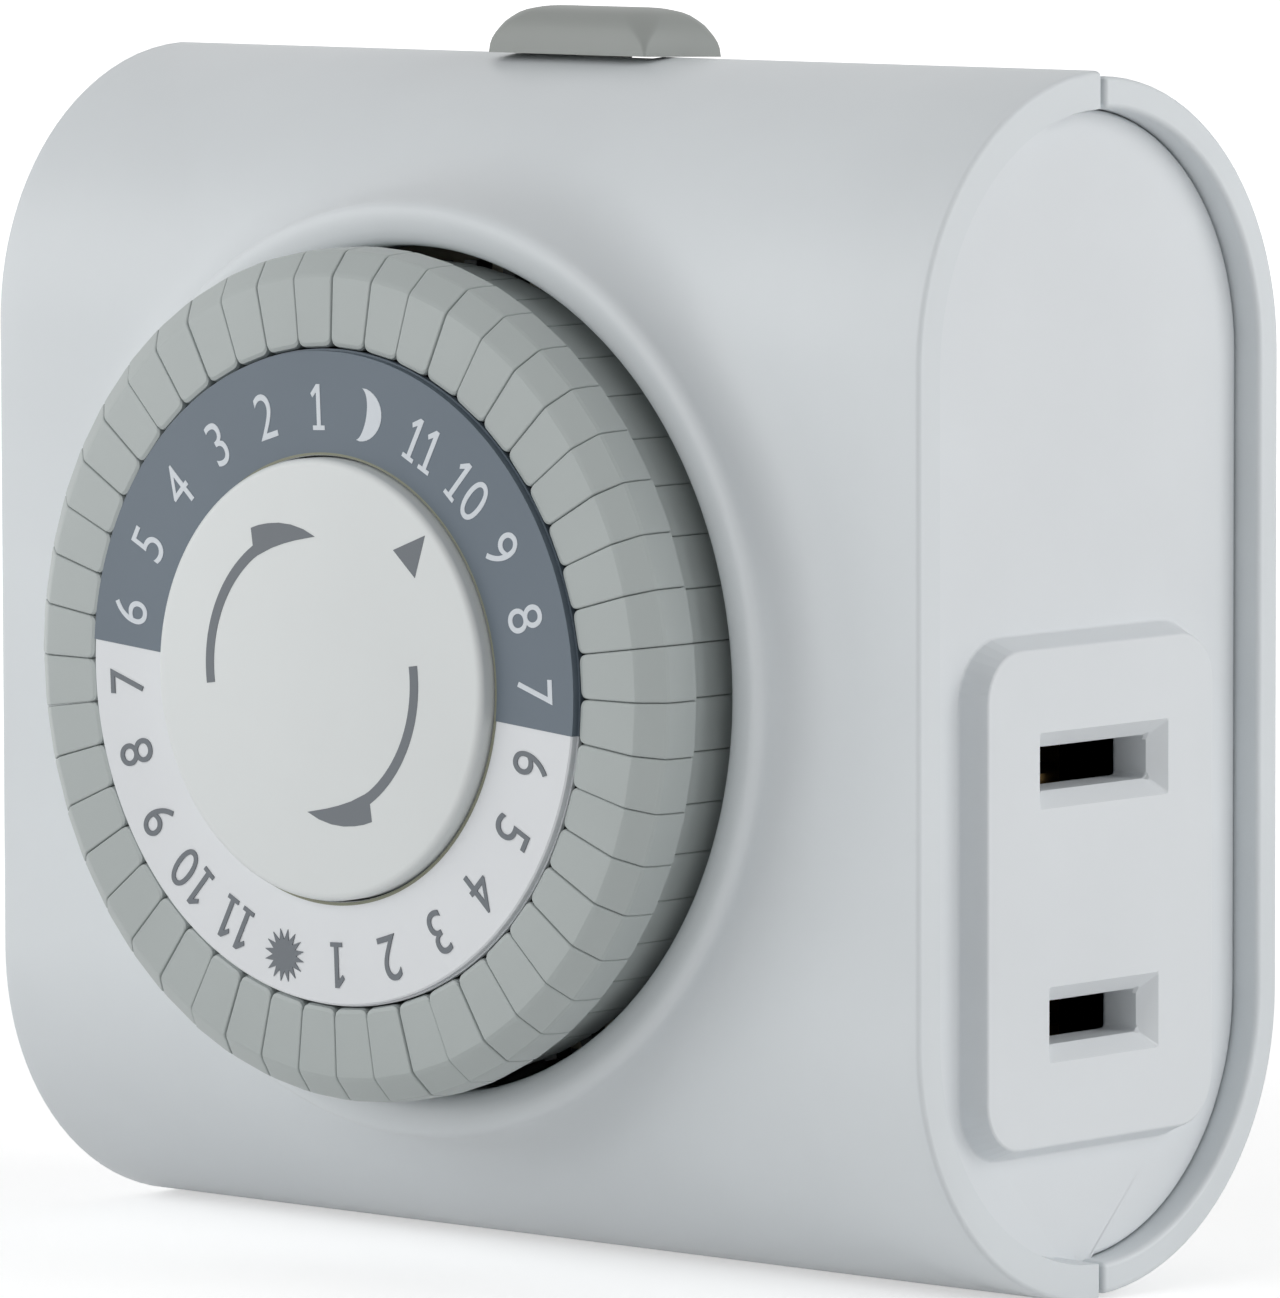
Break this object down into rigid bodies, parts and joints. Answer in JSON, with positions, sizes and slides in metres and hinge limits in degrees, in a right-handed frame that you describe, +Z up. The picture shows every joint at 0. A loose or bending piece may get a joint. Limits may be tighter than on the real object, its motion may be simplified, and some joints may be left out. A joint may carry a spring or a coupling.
{
  "type": "plug-in timer switch",
  "caption": "Plug-in mechanical 24-hour timer switch: a segment dial on the front, an override knob on top and a two-slot outlet in each side.",
  "frame": {"origin": "centre of the flat back face that lies against the wall, midway between the two plug blades", "axes": "+Z up, +Y out of the back into the wall, so the dial faces -Y; +X is right as seen from the front"},
  "size_m": [0.063, 0.054, 0.0639],
  "materials": {
    "housing": "satin moulded ABS",
    "panel": "satin moulded ABS",
    "cap": "smooth moulded, printed marks",
    "ring": "printed, half slate grey and half white",
    "tripper": "satin moulded, slightly translucent",
    "knob": "satin moulded",
    "dial_plastic": "moulded acetal",
    "gear_plastic": "natural acetal",
    "mechanism_plastic": "moulded nylon",
    "lever_plastic": "moulded acetal",
    "blade_metal": "nickel-washed brass, brushed",
    "brass": "stamped strip",
    "spring_copper": "spring bronze",
    "steel": "zinc plated",
    "motor_steel": "drawn steel",
    "copper_wire": "enamelled winding",
    "magnet": "sintered ferrite",
    "wire_sleeve": "insulated wire"
  },
  "bodies": {
    "housing": {"front_shell": "housing", "rear_shell": "housing", "right_outlet_panel": "panel", "left_outlet_panel": "panel", "assembly_screws": "steel", "mechanism_plate": "mechanism_plastic", "centre_cap": "cap", "neutral_plug_blade": "blade_metal", "hot_plug_blade": "blade_metal", "neutral_strip": "brass", "line_strip": "brass", "load_strip": "brass", "right_neutral_clip": "brass", "right_hot_clip": "brass", "left_neutral_clip": "brass", "left_hot_clip": "brass", "fixed_contact": "brass", "lever_pin": "steel", "lever_spring": "steel", "motor_can": "motor_steel", "motor_cover": "motor_steel", "coil_bobbin": "mechanism_plastic", "motor_coil": "copper_wire", "intermediate_axle": "steel", "motor_leads": "wire_sleeve"},
    "dial": {"dial_wheel": "dial_plastic", "dial_gear": "gear_plastic", "printed_hour_ring": "ring"},
    "intermediate_gear": {"intermediate_gear": "gear_plastic"},
    "output_pinion": {"output_pinion": "gear_plastic"},
    "magnet_rotor": {"magnet_rotor": "magnet"},
    "override_switch": {"override_knob": "knob", "override_slide": "lever_plastic"},
    "follower_lever": {"follower_lever": "lever_plastic"},
    "moving_contact": {"moving_contact": "spring_copper"},
    "trippers_00": {"hour_00": "tripper"},
    "trippers_01": {"hour_01": "tripper"},
    "trippers_02": {"hour_02": "tripper"},
    "trippers_03": {"hour_03": "tripper"},
    "trippers_04": {"hour_04": "tripper"},
    "trippers_05": {"hour_05": "tripper"},
    "trippers_06": {"hour_06": "tripper"},
    "trippers_07": {"hour_07": "tripper"},
    "trippers_08": {"hour_08": "tripper"},
    "trippers_09": {"hour_09": "tripper"},
    "trippers_10": {"hour_10": "tripper"},
    "trippers_11": {"hour_11": "tripper"},
    "trippers_12": {"hour_12": "tripper"},
    "trippers_13": {"hour_13": "tripper"},
    "trippers_14": {"hour_14": "tripper"},
    "trippers_15": {"hour_15": "tripper"},
    "trippers_16": {"hour_16": "tripper"},
    "trippers_17": {"hour_17": "tripper"},
    "trippers_18": {"hour_18": "tripper"},
    "trippers_19": {"hour_19": "tripper"},
    "trippers_20": {"hour_20": "tripper"},
    "trippers_21": {"hour_21": "tripper"},
    "trippers_22": {"hour_22": "tripper"},
    "trippers_23": {"hour_23": "tripper"}
  },
  "joints": [
    {"name": "dial_turn", "type": "hinge", "parent": "housing", "child": "dial", "pos_m": [0, -0.03, 0.0002], "axis": [0, 1, 0], "continuous": true},
    {"name": "intermediate_gear_turn", "type": "hinge", "parent": "housing", "child": "intermediate_gear", "pos_m": [0.0084, -0.019, 0.01475], "axis": [0, 1, 0], "continuous": true},
    {"name": "output_pinion_turn", "type": "hinge", "parent": "housing", "child": "output_pinion", "pos_m": [-0.00342, -0.016, 0.01683], "axis": [0, 1, 0], "continuous": true},
    {"name": "rotor_turn", "type": "hinge", "parent": "housing", "child": "magnet_rotor", "pos_m": [-0.0055, -0.009, 0.012], "axis": [0, 1, 0], "continuous": true},
    {"name": "override_slide", "type": "slide", "parent": "housing", "child": "override_switch", "axis": [1, 0, 0], "range_m": [0, 0.0028]},
    {"name": "follower_lever_tilt", "type": "hinge", "parent": "housing", "child": "follower_lever", "pos_m": [0.0217, -0.0235, 0.0089], "axis": [0, 1, 0], "range_deg": [0, 6], "stiffness_Nm_per_rad": 0.005, "springref_deg": -5.73},
    {"name": "moving_contact_flex", "type": "hinge", "parent": "housing", "child": "moving_contact", "pos_m": [0.021, -0.009, -0.001], "axis": [0, 1, 0], "range_deg": [-4.8, 0]},
    {"name": "tripper_push_00", "type": "slide", "parent": "dial", "child": "trippers_00", "axis": [0, 1, 0], "range_m": [0, 0.0022]},
    {"name": "tripper_push_01", "type": "slide", "parent": "dial", "child": "trippers_01", "axis": [0, 1, 0], "range_m": [0, 0.0022]},
    {"name": "tripper_push_02", "type": "slide", "parent": "dial", "child": "trippers_02", "axis": [0, 1, 0], "range_m": [0, 0.0022]},
    {"name": "tripper_push_03", "type": "slide", "parent": "dial", "child": "trippers_03", "axis": [0, 1, 0], "range_m": [0, 0.0022]},
    {"name": "tripper_push_04", "type": "slide", "parent": "dial", "child": "trippers_04", "axis": [0, 1, 0], "range_m": [0, 0.0022]},
    {"name": "tripper_push_05", "type": "slide", "parent": "dial", "child": "trippers_05", "axis": [0, 1, 0], "range_m": [0, 0.0022]},
    {"name": "tripper_push_06", "type": "slide", "parent": "dial", "child": "trippers_06", "axis": [0, 1, 0], "range_m": [0, 0.0022]},
    {"name": "tripper_push_07", "type": "slide", "parent": "dial", "child": "trippers_07", "axis": [0, 1, 0], "range_m": [0, 0.0022]},
    {"name": "tripper_push_08", "type": "slide", "parent": "dial", "child": "trippers_08", "axis": [0, 1, 0], "range_m": [0, 0.0022]},
    {"name": "tripper_push_09", "type": "slide", "parent": "dial", "child": "trippers_09", "axis": [0, 1, 0], "range_m": [0, 0.0022]},
    {"name": "tripper_push_10", "type": "slide", "parent": "dial", "child": "trippers_10", "axis": [0, 1, 0], "range_m": [0, 0.0022]},
    {"name": "tripper_push_11", "type": "slide", "parent": "dial", "child": "trippers_11", "axis": [0, 1, 0], "range_m": [0, 0.0022]},
    {"name": "tripper_push_12", "type": "slide", "parent": "dial", "child": "trippers_12", "axis": [0, 1, 0], "range_m": [0, 0.0022]},
    {"name": "tripper_push_13", "type": "slide", "parent": "dial", "child": "trippers_13", "axis": [0, 1, 0], "range_m": [0, 0.0022]},
    {"name": "tripper_push_14", "type": "slide", "parent": "dial", "child": "trippers_14", "axis": [0, 1, 0], "range_m": [0, 0.0022]},
    {"name": "tripper_push_15", "type": "slide", "parent": "dial", "child": "trippers_15", "axis": [0, 1, 0], "range_m": [0, 0.0022]},
    {"name": "tripper_push_16", "type": "slide", "parent": "dial", "child": "trippers_16", "axis": [0, 1, 0], "range_m": [0, 0.0022]},
    {"name": "tripper_push_17", "type": "slide", "parent": "dial", "child": "trippers_17", "axis": [0, 1, 0], "range_m": [0, 0.0022]},
    {"name": "tripper_push_18", "type": "slide", "parent": "dial", "child": "trippers_18", "axis": [0, 1, 0], "range_m": [0, 0.0022]},
    {"name": "tripper_push_19", "type": "slide", "parent": "dial", "child": "trippers_19", "axis": [0, 1, 0], "range_m": [0, 0.0022]},
    {"name": "tripper_push_20", "type": "slide", "parent": "dial", "child": "trippers_20", "axis": [0, 1, 0], "range_m": [0, 0.0022]},
    {"name": "tripper_push_21", "type": "slide", "parent": "dial", "child": "trippers_21", "axis": [0, 1, 0], "range_m": [0, 0.0022]},
    {"name": "tripper_push_22", "type": "slide", "parent": "dial", "child": "trippers_22", "axis": [0, 1, 0], "range_m": [0, 0.0022]},
    {"name": "tripper_push_23", "type": "slide", "parent": "dial", "child": "trippers_23", "axis": [0, 1, 0], "range_m": [0, 0.0022]}
  ],
  "couplings": [
    {"joint": "intermediate_gear_turn", "follows": "dial_turn", "ratio": -6},
    {"joint": "output_pinion_turn", "follows": "dial_turn", "ratio": 24},
    {"joint": "moving_contact_flex", "follows": "follower_lever_tilt", "ratio": -0.8}
  ]
}
